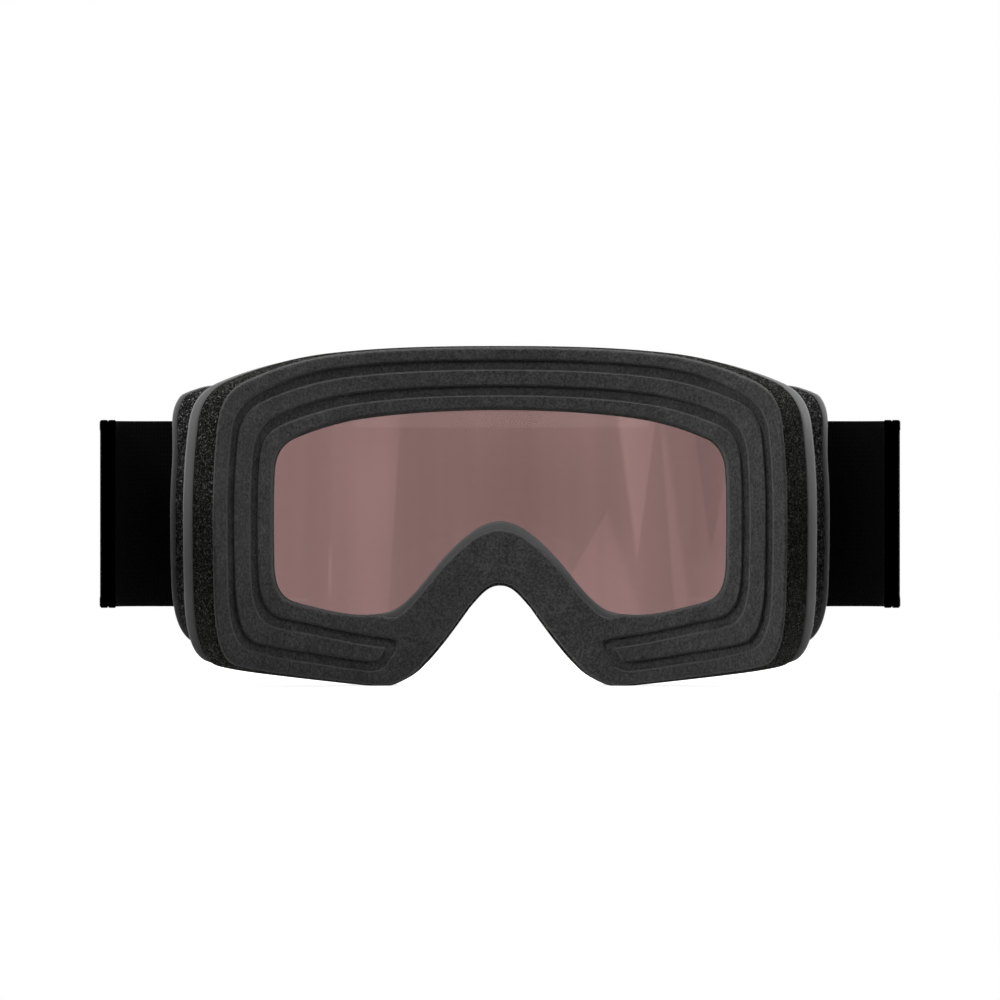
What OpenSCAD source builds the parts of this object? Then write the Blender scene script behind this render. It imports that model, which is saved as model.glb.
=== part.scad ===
// Snow goggles, seen in use: +Y is the way the wearer looks, +X to one side, +Z up.
// The origin is on the ground under the middle of the whole object, strap loop included.

/* [Face side] */
// Width of the fleece pad over the temples
face_w = 153.4; // [140:0.5:165]
// Height from the cheeks to the forehead edge
face_h = 91.5; // [84:0.5:98]
// Radius of the curve that follows the face, seen from above
face_r = 104; // [98:1:112]
// Width of the nose arch at its foot
nose_w = 40; // [36:0.5:44]
// Height of the nose arch
nose_h = 27.8; // [24:0.2:31]
// Width of the viewing window in the pad
window_w = 121.2; // [114:0.5:126]
// Upper edge of the viewing window above the ground
window_top = 74.6; // [70:0.2:77]
// Lower edge of the viewing window above the ground
window_bottom = 19.1; // [15:0.2:22]
// Thickness of the fleece pad at its crown
fleece_t = 5.5; // [4.5:0.1:7]
// Depth of the two moulded channels in the fleece pad
channel_depth = 2.0; // [1:0.1:2.6]
// Thickness of the soft middle foam
comfort_t = 4.8; // [3:0.1:7]
// Thickness of the firm foam on the frame
base_t = 4.7; // [3:0.1:7]

/* [Frame] */
// Depth from the lens apex to the pad's face on the centre line
goggle_depth = 40; // [37:0.5:44]
// How far the frame's rear flange stands out past the pad at each temple
flange_flare = 8.6; // [6.5:0.1:9.5]
// How far the frame's front ring stands out past the pad at each temple
ring_flare = 11.9; // [11:0.1:13]
// Thickness of the rear flange
flange_t = 2.5; // [2:0.1:3]
// Thickness of the front ring
ring_t = 3.5; // [3:0.1:4]
// Thickness of the vent struts
strut_t = 2.4; // [1.8:0.1:3]
// Thickness of the vent foam strips
vent_foam_t = 2.6; // [2:0.1:3.4]

/* [Lens] */
// How much larger the outer lens's radius is than the face radius, seen from above
lens_extra_r = 21; // [17:0.5:28]
// Width of the removable lens module
carrier_w = 163; // [158:0.5:164]
// Thickness of the outer lens
outer_lens_t = 1.2; // [0.8:0.1:1.6]
// Air gap between the two lenses
lens_gap = 4.2; // [3.4:0.1:4.6]
// Thickness of the inner lens
inner_lens_t = 0.8; // [0.6:0.1:1.2]
// Height that the carrier's front lip stands over the outer lens
lip_t = 1.2; // [0.8:0.1:1.6]
// Radius of the holding magnets
magnet_r = 1.9; // [1.5:0.1:2.1]
// Length of the holding magnets
magnet_l = 2; // [1.5:0.1:2.5]

/* [Strap] */
// Width of the elastic strap
strap_w = 50; // [44:1:51]
// Thickness of one layer of webbing
strap_t = 1.8; // [1.4:0.1:2]
// Height of the strap's middle above the ground
strap_z = 46.5; // [44:0.5:49]
// Reach of the strap to each side of the centre line
strap_reach = 107.6; // [104:0.2:114]
// Share of the strap's reach past its bar that the bend beside the frame takes
bend_share = 0.56; // [0.5:0.01:0.62]
// Length of the straight run behind each bend
strap_run = 30; // [20:1:60]
// Angle by which each side run leans inward
strap_lean = 3; // [1:0.5:5]
// Radius of the steel bars that hold the strap
bar_r = 1.5; // [1.2:0.1:1.7]
// Angle of each slider from the middle of the strap's back
slider_at = 50; // [45:1:56]
// Length of a slider along the strap
slider_l = 22; // [18:1:26]

/* [Hidden] */

// Rounds of the lens and face cylinders, of small pins, and of swept rings
$fn = 240;
pin_fn = 48;

// Seat gap between pieces that meet, and small working clearances
seat = 0.3;
pin_clearance = 0.05;
// Cuts run this far past the faces that they open
past = 1;

lens_r = face_r + lens_extra_r;
half_face = face_w / 2;
half_window = window_w / 2;
nose_r = nose_w / 2;
foot_x = 32.25;
foot_w = 7.5;
bridge_drop = 32.3;
bridge_z = window_top - bridge_drop;
window_h = window_top - window_bottom;

// Depths behind the outer lens surface, measured along the lens radius
inner_lens_d = outer_lens_t + lens_gap;
carrier_foot_t = 1.4;
carrier_back_d = inner_lens_d + inner_lens_t + carrier_foot_t;
ring_front_d = carrier_back_d + seat;
ring_back_d = ring_front_d + ring_t;

// Depths in front of the pad's face, measured along the face radius
comfort_d = fleece_t;
base_d = comfort_d + comfort_t;
flange_d = base_d + base_t;

// Strap path: bar, doubled layers, bend, side run and back arc
layer_gap = 0.3;
pair_half = strap_t + layer_gap / 2;
eye_play = 0.25;
eye_in = bar_r + eye_play;
eye_out = eye_in + strap_t;
bar_inset = 3.7;
bar_clear = 0.4;
bar_x = half_face + ring_flare - bar_inset;
bar_radius = lens_r - ring_front_d + eye_out + bar_clear;
strap_bend_r = (strap_reach - bar_x) * bend_share - pair_half;
bend_x = strap_reach - pair_half - strap_bend_r;
back_r = strap_bend_r + bend_x * cos(strap_lean) - strap_run * sin(strap_lean);

// Places along Y with the lens apex at zero, then moved so that the origin is in the middle.
// Behind the sliders the strap is one layer, so its inner layer sets the rear end
bar_rel = sqrt(bar_radius * bar_radius - bar_x * bar_x) - lens_r;
back_rel = bar_rel - strap_bend_r - strap_run - back_r + layer_gap / 2;
apex_y = -(lip_t + back_rel) / 2;
lens_axis = apex_y - lens_r;
face_axis = apex_y - goggle_depth - face_r;
bar_y = apex_y + bar_rel;
bend_y = bar_y - strap_bend_r;
back_y = bend_y - strap_run;
strap_bottom = strap_z - strap_w / 2;
strap_top = strap_z + strap_w / 2;

// Outer edge of the pad from the nose arch round one side to the forehead, as Bezier spans
pad_edge = [
    [0, nose_h],
    [0.16 * nose_r, nose_h], [0.25 * nose_r, 0.92 * nose_h], [0.41 * nose_r, 0.79 * nose_h],
    [0.61 * nose_r, 0.59 * nose_h], [0.86 * nose_r, 0.35 * nose_h], [nose_r, 0.25 * nose_h],
    [1.1 * nose_r, 0.15 * nose_h], [1.25 * nose_r, 0], [foot_x - foot_w / 2, 0],
    [foot_x - foot_w / 6, 0], [foot_x + foot_w / 6, 0], [foot_x + foot_w / 2, 0],
    [0.535 * half_face, 0], [0.665 * half_face, 0.026 * face_h], [0.79 * half_face, 0.0415 * face_h],
    [0.835 * half_face, 0.048 * face_h], [0.894 * half_face, 0.057 * face_h], [0.926 * half_face, 0.066 * face_h],
    [0.978 * half_face, 0.083 * face_h], [0.991 * half_face, 0.164 * face_h], [0.996 * half_face, 0.254 * face_h],
    [0.999 * half_face, 0.34 * face_h], [half_face, 0.42 * face_h], [half_face, 0.505 * face_h],
    [half_face, 0.59 * face_h], [0.995 * half_face, 0.68 * face_h], [0.984 * half_face, 0.762 * face_h],
    [0.978 * half_face, 0.824 * face_h], [0.952 * half_face, 0.872 * face_h], [0.887 * half_face, 0.897 * face_h],
    [0.815 * half_face, 0.929 * face_h], [0.704 * half_face, 0.961 * face_h], [0.595 * half_face, 0.975 * face_h],
    [0.417 * half_face, 0.997 * face_h], [0.196 * half_face, face_h], [0, face_h]
];

// Edge of the viewing window, with the same spans
window_edge = [
    [0, bridge_z],
    [0.15 * nose_r, bridge_z], [0.28 * nose_r, bridge_z - 0.0162 * window_h], [0.405 * nose_r, bridge_z - 0.0486 * window_h],
    [0.625 * nose_r, bridge_z - 0.0991 * window_h], [0.83 * nose_r, bridge_z - 0.182 * window_h], [nose_r, bridge_z - 0.2541 * window_h],
    [1.15 * nose_r, bridge_z - 0.3189 * window_h], [1.315 * nose_r, window_bottom + 0.0378 * window_h], [1.5 * nose_r, window_bottom + 0.0144 * window_h],
    [0.526 * half_window, window_bottom + 0.0036 * window_h], [0.564 * half_window, window_bottom], [0.602 * half_window, window_bottom],
    [0.685 * half_window, window_bottom], [0.767 * half_window, window_bottom + 0.0234 * window_h],
    [0.842 * half_window, window_bottom + 0.045 * window_h],
    [0.868 * half_window, window_bottom + 0.0505 * window_h], [0.894 * half_window, window_bottom + 0.0595 * window_h],
    [0.916 * half_window, window_bottom + 0.0685 * window_h],
    [0.967 * half_window, window_bottom + 0.0883 * window_h], [0.993 * half_window, window_bottom + 0.1423 * window_h],
    [0.997 * half_window, window_bottom + 0.232 * window_h],
    [half_window, window_bottom + 0.314 * window_h], [half_window, window_bottom + 0.395 * window_h],
    [half_window, window_bottom + 0.467 * window_h],
    [half_window, window_bottom + 0.557 * window_h], [half_window, window_bottom + 0.629 * window_h],
    [0.995 * half_window, window_top - 0.2901 * window_h],
    [0.99 * half_window, window_top - 0.2234 * window_h], [0.967 * half_window, window_top - 0.1802 * window_h],
    [0.929 * half_window, window_top - 0.1523 * window_h],
    [0.861 * half_window, window_top - 0.1135 * window_h], [0.767 * half_window, window_top - 0.0793 * window_h],
    [0.668 * half_window, window_top - 0.055 * window_h],
    [0.495 * half_window, window_top - 0.018 * window_h], [0.231 * half_window, window_top], [0, window_top]
];

// Steps in each Bezier span
span_steps = [3, 4, 3, 1, 4, 2, 4, 2, 2, 4, 4, 6];
span_starts = [0, 3, 7, 10, 11, 15, 17, 21, 23, 25, 29, 33, 39];
half_count = span_starts[12];
edge_count = 2 * half_count;

function mix(a, b, t) = a + (b - a) * t;
function clamp(v) = max(0, min(1, v));
function bezier(p, k, t) =
    pow(1 - t, 3) * p[k] + 3 * t * pow(1 - t, 2) * p[k + 1] + 3 * t * t * (1 - t) * p[k + 2]
    + pow(t, 3) * p[k + 3];
function half_curve(p) = [
    for (s = [0:11]) for (j = [0:span_steps[s] - 1]) bezier(p, 3 * s, j / span_steps[s]),
    p[36]
];
// Closed curve from a half curve, mirrored about the centre line
function whole_curve(p) = let (h = half_curve(p)) [
    for (i = [0:half_count]) h[i],
    for (i = [half_count - 1:-1:1]) [-h[i][0], h[i][1]]
];
pad_points = whole_curve(pad_edge);
window_points = whole_curve(window_edge);

// Moves a point of the pad's edge out to the side by flare, and lifts its lower outer corner
function flared(p, flare, lift, drop) = let (
    out = clamp((abs(p[0]) - nose_r) / (half_face - nose_r)),
    outer = clamp((abs(p[0]) - foot_x - foot_w / 2) / (half_face - foot_x)),
    low = clamp(1 - 2 * p[1] / face_h),
    high = clamp(2 * p[1] / face_h - 1)
) [p[0] + sign(p[0]) * flare * out, p[1] + lift * outer * low - drop * high];
// The window in the frame shows a lip above the pad over the nose
lip_rise = 2.2;
function framed(p) = [p[0], p[1] + (p[1] < bridge_z + 1 ? lip_rise * clamp(1 - abs(p[0]) / (1.4 * nose_r)) : 0)];
// Point i of a line that lies a share u of the way from the flared pad edge to the frame's window
function frame_point(i, u, flare, lift, drop) =
    mix(flared(pad_points[i], flare, lift, drop), framed(window_points[i]), u);
function frame_line(u, flare, lift, drop) =
    [for (i = [0:edge_count - 1]) frame_point(i, u, flare, lift, drop)];
function lens_y(x, d) = lens_axis + sqrt(pow(lens_r - d, 2) - x * x);
function face_y(x, d) = face_axis + sqrt(pow(face_r + d, 2) - x * x);

// The front ring and the lens module share these edge changes
ring_lift = 8;
ring_drop = 0.8;
carrier_flare = carrier_w / 2 - half_face;
function carrier_point(i, u) = frame_point(i, u, carrier_flare, ring_lift, ring_drop);
function carrier_line(u) = [for (i = [0:edge_count - 1]) carrier_point(i, u)];

// Shares of the way from the outer edge to the window
carrier_u = 0.03;
magnet_u = 0.18;
lens_u = 0.33;
lens_fit_u = 0.345;
spacer_u = 0.355;
spacer_inner_u = 0.48;
lip_outer_u = 0.13;
lip_u = 0.42;
ring_inner_u = 0.62;
gasket_u = 0.42;
gasket_inner_u = 0.54;

// Solid between two cylinders round a vertical axis, with the outline of its child seen from the front
module curved(axis_y, r0, r1) {
    intersection() {
        translate([0, axis_y + r1 + past, 0]) rotate([90, 0, 0]) linear_extrude(r1 + past) children();
        translate([0, axis_y, -past]) difference() {
            cylinder(r = r1, h = face_h + 2 * past);
            translate([0, 0, -past]) cylinder(r = r0, h = face_h + 4 * past);
        }
    }
}
module curved_plate(outer, axis_y, r0, r1) {
    curved(axis_y, r0, r1) polygon(outer);
}
module curved_ring(outer, inner, axis_y, r0, r1) {
    curved(axis_y, r0, r1) difference() {
        polygon(outer);
        polygon(inner);
    }
}
// Closed tube whose section is the list of lines, each a closed line of the same number of points
module ring_of_lines(lines) {
    n = len(lines[0]);
    m = len(lines);
    polyhedron(
        points = [for (line = lines) each line],
        faces = [
            for (j = [0:m - 1]) for (i = [0:n - 1]) let (
                a = j * n + i, b = j * n + (i + 1) % n,
                c = ((j + 1) % m) * n + (i + 1) % n, d = ((j + 1) % m) * n + i
            ) each [[a, b, c], [a, c, d]]
        ],
        convexity = 8
    );
}
// Stretch of such a tube between two points of its lines, closed at both ends
module stretch_of_lines(lines) {
    n = len(lines[0]);
    m = len(lines);
    polyhedron(
        points = [for (line = lines) each line],
        faces = [
            for (j = [0:m - 1]) for (i = [0:n - 2]) let (
                a = j * n + i, b = a + 1, c = ((j + 1) % m) * n + i + 1, d = c - 1
            ) each [[a, b, c], [a, c, d]],
            for (j = [1:m - 2]) each [[0, j * n, (j + 1) * n], [n - 1, (j + 2) * n - 1, (j + 1) * n - 1]]
        ],
        convexity = 4
    );
}

// Channels run everywhere except over the nose, where they fade out
channel_start_x = 26;
channel_fade = 5;
channel_clear_z = nose_h + 4;
function channel_share(i) = let (p = pad_points[i])
    clamp((abs(p[0]) - channel_start_x) / channel_fade + (p[1] > channel_clear_z ? 1 : 0));
// Section of the fleece pad: share across it, height over the foam, share of the channel depth
fleece_section = [
    [1, 0.05, 0], [1, 0.45, 0], [0.97, 0.78, 0], [0.89, 0.96, 0], [0.79, 0.99, 0], [0.73, 0.99, 1],
    [0.64, 1, 1], [0.60, 1, 0], [0.49, 1, 0], [0.38, 1, 0], [0.32, 1, 1], [0.24, 1, 1],
    [0.20, 0.98, 0], [0.10, 0.95, 0], [0.02, 0.72, 0], [0, 0.05, 0]
];
function pad_line(section) = [
    for (i = [0:edge_count - 1]) let (
        p = mix(pad_points[i], window_points[i], section[0]),
        h = section[1] * fleece_t - section[2] * channel_depth * channel_share(i)
    ) [p[0], face_y(p[0], comfort_d - h), p[1]]
];
module face_fleece() {
    color("#34363a") ring_of_lines([for (s = fleece_section) pad_line(s)]);
}
// One foam layer between two depths, with its own flare at each face
function foam_line(u, flare, d) = [
    for (i = [0:edge_count - 1]) let (p = mix(flared(pad_points[i], flare, 0, 0), window_points[i], u))
        [p[0], face_y(p[0], d), p[1]]
];
across = [0, 1/3, 2/3, 1];
module foam_layer(d0, flare0, d1, flare1) {
    ring_of_lines([
        for (u = across) foam_line(1 - u, flare0, d0),
        for (u = across) foam_line(u, flare1, d1)
    ]);
}
// Flare of the pad's side at each joint between its layers
comfort_flare = 0;
base_flare = 3.4;
firm_flare = 5.6;
module comfort_foam() {
    color("#1b1b1b") foam_layer(comfort_d, comfort_flare, base_d - pin_clearance, base_flare);
}
module base_foam() {
    color("#141414") foam_layer(base_d, base_flare, flange_d - pin_clearance, firm_flare);
}
// Between the flange and the front ring, a little inside their edges, vent foam stands outermost and struts behind it
wall_back_flare = flange_flare - 1.2;
wall_front_flare = ring_flare - 1.2;
wall_back_drop = 0.6;
vent_u = 0.02;
// Mean distance from the pad's edge to the window, which turns a thickness into a share
band_w = 16;
strut_u = vent_u + (vent_foam_t + 1.5 * seat) / band_w;
function wall_line(u, from, to, front, gap) = [
    for (i = [from:to]) let (
        k = (i + edge_count) % edge_count,
        p = front ? frame_point(k, u, wall_front_flare, ring_lift, ring_drop)
                  : frame_point(k, u, wall_back_flare, 0, wall_back_drop),
        y = front ? lens_y(p[0], ring_back_d + gap) : face_y(p[0], flange_d + flange_t + gap)
    ) [p[0], y, p[1]]
];
// Wall of thickness t from one point of the edge to another, with a gap to the flange and the ring
module wall(u, t, from, to, gap) {
    u1 = u + t / band_w;
    stretch_of_lines([
        wall_line(u, from, to, true, gap), wall_line(u1, from, to, true, gap),
        wall_line(u1, from, to, false, gap), wall_line(u, from, to, false, gap)
    ]);
}
strut_starts = [1, 5, 9, 13, 16, 19, 22, 24, 27, 31, 34, 37];
strut_sink = 0.6;
module struts() {
    for (s = strut_starts, from = [s, edge_count - s - 1]) wall(strut_u, strut_t, from, from + 1, -strut_sink);
}
// Magnets sit in pairs in the lens carrier and the front ring, at these points of the edge
magnet_points = [10, 15, 31, 36];
module magnets(d, l, r) {
    for (i = magnet_points, side = [-1, 1]) let (p = carrier_point(i, magnet_u), a = side * asin(p[0] / lens_r))
        translate([0, lens_axis, p[1]]) rotate([0, 0, -a]) translate([0, lens_r - d - l, 0])
            rotate([-90, 0, 0]) cylinder(r = r, h = l, $fn = pin_fn);
}
// Lugs above and below the strap carry the strap bar
lug_t = 2;
lug_wall = 0.9;
lug_arm = [4.9, 8.6];
lug_arm_in = 2.6;
lug_tilt = 6;
spine = [2.2, 3.8];
spine_in = 0.2;
spine_end = 0.6;
// A spine inside the front ring joins them to it
module strap_lugs() {
    low = strap_bottom - seat - lug_t;
    high = strap_top + seat;
    translate([bar_x, bar_y, low]) rotate([0, 0, lug_tilt])
        translate([spine_in - lug_arm_in, spine_in - lug_arm[1], spine_end])
            cube([spine[0], spine[1], high + lug_t - low - 2 * spine_end]);
    for (z = [low, high]) translate([bar_x, bar_y, z]) {
        cylinder(r = bar_r + lug_wall, h = lug_t, $fn = pin_fn);
        rotate([0, 0, lug_tilt]) translate([-lug_arm_in, -lug_arm[1], 0])
            cube([lug_arm[0], lug_arm[1], lug_t]);
    }
}
module frame() {
    color("#57585a") difference() {
        union() {
            curved_ring(
                frame_line(0, flange_flare, 0, 0), frame_line(1, flange_flare, 0, 0),
                face_axis, face_r + flange_d, face_r + flange_d + flange_t
            );
            curved_ring(
                frame_line(0, ring_flare, ring_lift, ring_drop), frame_line(ring_inner_u, ring_flare, ring_lift, ring_drop),
                lens_axis, lens_r - ring_back_d, lens_r - ring_front_d
            );
            struts();
            strap_lugs();
            mirror([1, 0, 0]) strap_lugs();
        }
        for (side = [-1, 1]) translate([side * bar_x, bar_y, strap_bottom - seat - lug_t - past])
            cylinder(r = bar_r + pin_clearance, h = strap_w + 2 * (seat + lug_t + past), $fn = pin_fn);
        magnets(ring_front_d - past, magnet_l + past + pin_clearance, magnet_r + pin_clearance);
    }
}
// Foam strip from one point of the edge to another
module vent_foam(from, to) {
    color("#262626") wall(vent_u, vent_foam_t, from, to, seat);
}
module vent_foam_top() vent_foam(30, edge_count - 30);
module vent_foam_right() vent_foam(18, 28);
module vent_foam_left() vent_foam(edge_count - 28, edge_count - 18);
module vent_foam_cheek_right() vent_foam(2, 16);
module vent_foam_cheek_left() vent_foam(edge_count - 16, edge_count - 2);

module lens_gasket() {
    color("#202022") curved_ring(
        carrier_line(gasket_u), carrier_line(gasket_inner_u),
        lens_axis, lens_r - ring_front_d, lens_r - inner_lens_d - inner_lens_t - seat
    );
}
module frame_magnets() {
    color("#b4b6ba") magnets(ring_front_d, magnet_l, magnet_r);
}
module lens_magnets() {
    color("#b4b6ba") magnets(carrier_back_d - magnet_l, magnet_l, magnet_r);
}
module lens_carrier() {
    color("#3a3b3e") difference() {
        union() {
            curved_ring(
                carrier_line(carrier_u), carrier_line(lens_u),
                lens_axis, lens_r - carrier_back_d, lens_r + lip_t
            );
            curved_ring(
                carrier_line(lip_outer_u), carrier_line(lip_u),
                lens_axis, lens_r + pin_clearance, lens_r + lip_t
            );
        }
        magnets(carrier_back_d - magnet_l - pin_clearance, magnet_l + past, magnet_r + pin_clearance);
    }
}
module outer_lens() {
    color([0.55, 0.45, 0.43, 0.5])
        curved_plate(carrier_line(lens_fit_u), lens_axis, lens_r - outer_lens_t, lens_r);
}
module lens_spacer() {
    color("#2a2a2c") curved_ring(
        carrier_line(spacer_u), carrier_line(spacer_inner_u),
        lens_axis, lens_r - inner_lens_d, lens_r - outer_lens_t
    );
}
module inner_lens() {
    color([0.7, 0.66, 0.64, 0.4]) curved_plate(
        carrier_line(spacer_u), lens_axis, lens_r - inner_lens_d - inner_lens_t, lens_r - inner_lens_d
    );
}
module strap_bar(side) {
    color("#8a8c90") translate([side * bar_x, bar_y, strap_bottom - seat - lug_t])
        cylinder(r = bar_r, h = strap_w + 2 * seat + 2 * lug_t, $fn = pin_fn);
}
module strap_bar_right() strap_bar(1);
module strap_bar_left() strap_bar(-1);

// The webbing is one strip: its end starts under a slider, runs forward outside the main layer,
// folds round the bar and comes back inside to the middle of the back. The other half mirrors it.
function arc(x, y, r, from, to, steps) = [
    for (k = [0:steps]) let (a = mix(from, to, k / steps)) [x + r * cos(a), y + r * sin(a)]
];
function webbing_half(out, eye, in) = concat(
    arc(0, back_y, back_r + out, slider_at - 90, -strap_lean, 9),
    arc(bend_x, bend_y, strap_bend_r + out, -strap_lean, 90, 8),
    arc(bar_x, bar_y, eye, 90, 270, 12),
    arc(bend_x, bend_y, strap_bend_r - in, 90, -strap_lean, 8),
    arc(0, back_y, back_r - in, -strap_lean, -90, 22)
);
function webbing_side(out, eye, in) = let (h = webbing_half(out, eye, in), n = len(h)) concat(
    h, [for (k = [n - 2:-1:0]) [-h[k][0], h[k][1]]]
);
module strap_webbing() {
    far = webbing_side(pair_half, eye_out, pair_half);
    near = webbing_side(layer_gap / 2, eye_in, layer_gap / 2);
    color("#0c0c0d") translate([0, 0, strap_bottom]) linear_extrude(strap_w)
        polygon(concat(far, [for (k = [len(near) - 1:-1:0]) near[k]]));
}
// Rubber lines on the inside of the strap's back keep it in place
grip_t = 0.4;
grip_h = 1.4;
grip_step = 10;
grip_half_angle = 18;
module strap_grip() {
    color("#2b2b2e") for (k = [-1.5:1.5])
        translate([0, back_y, strap_z + k * grip_step - grip_h / 2]) rotate([0, 0, -90 - grip_half_angle])
            rotate_extrude(angle = 2 * grip_half_angle)
                translate([back_r - pair_half - 2 * pin_clearance - grip_t, 0]) square([grip_t, grip_h]);
}
// Slider: two rails, two outer bars and one inner bar, all round the strap's back arc
slider_bar_t = 1.8;
slider_bar_w = 5;
slider_rail_h = 3;
slider_play = 0.4;
slider_rim = 0.3;
module slider_arc(at, l, r0, r1, z0, z1) {
    a = l / back_r * 180 / PI;
    rotate([0, 0, at / back_r * 180 / PI - a / 2]) rotate_extrude(angle = a) translate([r0, z0]) square([r1 - r0, z1 - z0]);
}
module slider(side) {
    inside = back_r - pair_half - slider_play;
    outside = back_r + pair_half + slider_play;
    low = strap_bottom - slider_play;
    high = strap_top + slider_play;
    end = slider_l / 2 - slider_bar_w / 2 - slider_rim;
    sunk = slider_rail_h / 2;
    color("#1d1d1f") translate([0, back_y, 0]) rotate([0, 0, -90 + side * slider_at]) {
        for (z = [low - slider_rail_h, high]) slider_arc(
            0, slider_l, inside - slider_bar_t - slider_rim, outside + slider_bar_t + slider_rim, z, z + slider_rail_h
        );
        for (at = [-end, end])
            slider_arc(at, slider_bar_w, outside, outside + slider_bar_t, low - sunk, high + sunk);
        slider_arc(0, slider_bar_w, inside - slider_bar_t, inside, low - sunk, high + sunk);
    }
}
module slider_right() slider(1);
module slider_left() slider(-1);

face_fleece();
comfort_foam();
base_foam();
frame();
vent_foam_top();
vent_foam_left();
vent_foam_right();
vent_foam_cheek_left();
vent_foam_cheek_right();
lens_gasket();
frame_magnets();
lens_carrier();
outer_lens();
lens_spacer();
inner_lens();
lens_magnets();
strap_bar_left();
strap_bar_right();
strap_webbing();
strap_grip();
slider_left();
slider_right();
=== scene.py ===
"""Snow goggles from the wearer's side: pieces, materials, light and camera in the CAD frame."""

import math

import bmesh
import bpy
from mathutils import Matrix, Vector, noise


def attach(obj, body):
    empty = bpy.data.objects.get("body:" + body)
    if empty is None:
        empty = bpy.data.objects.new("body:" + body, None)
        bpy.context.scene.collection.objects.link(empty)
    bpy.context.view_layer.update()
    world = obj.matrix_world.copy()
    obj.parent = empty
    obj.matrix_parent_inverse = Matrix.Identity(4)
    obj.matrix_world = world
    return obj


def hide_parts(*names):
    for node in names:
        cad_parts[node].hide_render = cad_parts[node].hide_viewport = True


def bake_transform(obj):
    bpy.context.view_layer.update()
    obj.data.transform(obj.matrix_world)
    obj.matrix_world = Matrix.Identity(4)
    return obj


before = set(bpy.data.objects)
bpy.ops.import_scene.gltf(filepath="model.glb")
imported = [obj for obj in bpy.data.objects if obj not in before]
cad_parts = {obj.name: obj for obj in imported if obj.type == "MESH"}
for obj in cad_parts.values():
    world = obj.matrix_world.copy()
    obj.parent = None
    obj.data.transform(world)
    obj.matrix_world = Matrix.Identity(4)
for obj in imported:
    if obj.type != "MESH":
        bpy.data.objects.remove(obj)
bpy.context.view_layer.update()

MM = 0.001
BODY = "goggles"

# ---- sizes in millimetres, as in the part
FACE_W, FACE_H, FACE_R = 153.4, 91.5, 104.0
NOSE_W, NOSE_H = 40.0, 27.8
WINDOW_TOP, WINDOW_BOTTOM, BRIDGE_DROP = 74.6, 19.1, 32.3
FOOT_X, FOOT_W = 32.25, 7.5
FLEECE_T, COMFORT_T, BASE_T = 5.5, 4.8, 4.7
GOGGLE_DEPTH = 40.0
FLANGE_FLARE, RING_FLARE, FLANGE_T, RING_T = 8.6, 11.9, 2.5, 3.5
STRUT_T, VENT_FOAM_T = 2.4, 2.6
LENS_R, CARRIER_W = 125.0, 163.0
OUTER_LENS_T, LENS_GAP, INNER_LENS_T = 1.2, 4.2, 0.8
LIP_T, CARRIER_FOOT_T = 1.2, 1.4
MAGNET_R, MAGNET_L = 1.9, 2.0
STRAP_W, STRAP_T, STRAP_Z = 50.0, 1.8, 46.5
STRAP_REACH, BEND_SHARE, STRAP_RUN = 107.6, 0.56, 30.0
LEAN, SLIDER_AT = math.radians(3), math.radians(50)
BAR_R, EYE_PLAY, BAR_INSET, BAR_CLEAR = 1.5, 0.25, 3.7, 0.4
SEAT, LAYER_GAP, PIN_CLEARANCE = 0.3, 0.3, 0.05
# Cuts run this far past the faces that they open
PAST = 1.0
# As the photograph shows them: a little wider, and shallower, than in the part
WINDOW_W, CHANNEL_DEPTH = 122.0, 1.56

HALF_FACE, HALF_WINDOW, NOSE_R = FACE_W / 2, WINDOW_W / 2, NOSE_W / 2
BRIDGE_Z = WINDOW_TOP - BRIDGE_DROP
WINDOW_H = WINDOW_TOP - WINDOW_BOTTOM
# Depths behind the outer lens surface, along the lens radius
INNER_LENS_D = OUTER_LENS_T + LENS_GAP
CARRIER_BACK_D = INNER_LENS_D + INNER_LENS_T + CARRIER_FOOT_T
RING_FRONT_D = CARRIER_BACK_D + SEAT
RING_BACK_D = RING_FRONT_D + RING_T
CARRIER_FLARE = CARRIER_W / 2 - HALF_FACE
# Depths in front of the pad's face, along the face radius
COMFORT_D = FLEECE_T
BASE_D = COMFORT_D + COMFORT_T
FLANGE_D = BASE_D + BASE_T
# The strap's path: bar, doubled layers, bend, side run and back arc
PAIR_HALF = STRAP_T + LAYER_GAP / 2
EYE_IN = BAR_R + EYE_PLAY
EYE_OUT = EYE_IN + STRAP_T
BAR_X = HALF_FACE + RING_FLARE - BAR_INSET
BEND_R = (STRAP_REACH - BAR_X) * BEND_SHARE - PAIR_HALF
BEND_X = STRAP_REACH - PAIR_HALF - BEND_R
BACK_R = BEND_R + BEND_X * math.cos(LEAN) - STRAP_RUN * math.sin(LEAN)
BAR_RADIUS = LENS_R - RING_FRONT_D + EYE_OUT + BAR_CLEAR
BAR_REL = math.sqrt(BAR_RADIUS ** 2 - BAR_X ** 2) - LENS_R
BACK_REL = BAR_REL - BEND_R - STRAP_RUN - BACK_R + LAYER_GAP / 2
APEX_Y = -(LIP_T + BACK_REL) / 2
LENS_AXIS = APEX_Y - LENS_R
FACE_AXIS = APEX_Y - GOGGLE_DEPTH - FACE_R
BAR_Y = APEX_Y + BAR_REL
BEND_Y = BAR_Y - BEND_R
BACK_Y = BEND_Y - STRAP_RUN


def mix(a, b, t):
    return a + (b - a) * t


def mix2(a, b, t):
    return (mix(a[0], b[0], t), mix(a[1], b[1], t))


def clamp(v):
    return max(0.0, min(1.0, v))


def rise(v, low, high):
    """How far v has come from low to high, from 0 to 1 with soft ends. low may be the larger."""
    t = clamp((v - low) / (high - low))
    return t * t * (3 - 2 * t)


def sign(v):
    return (v > 0) - (v < 0)


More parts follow.
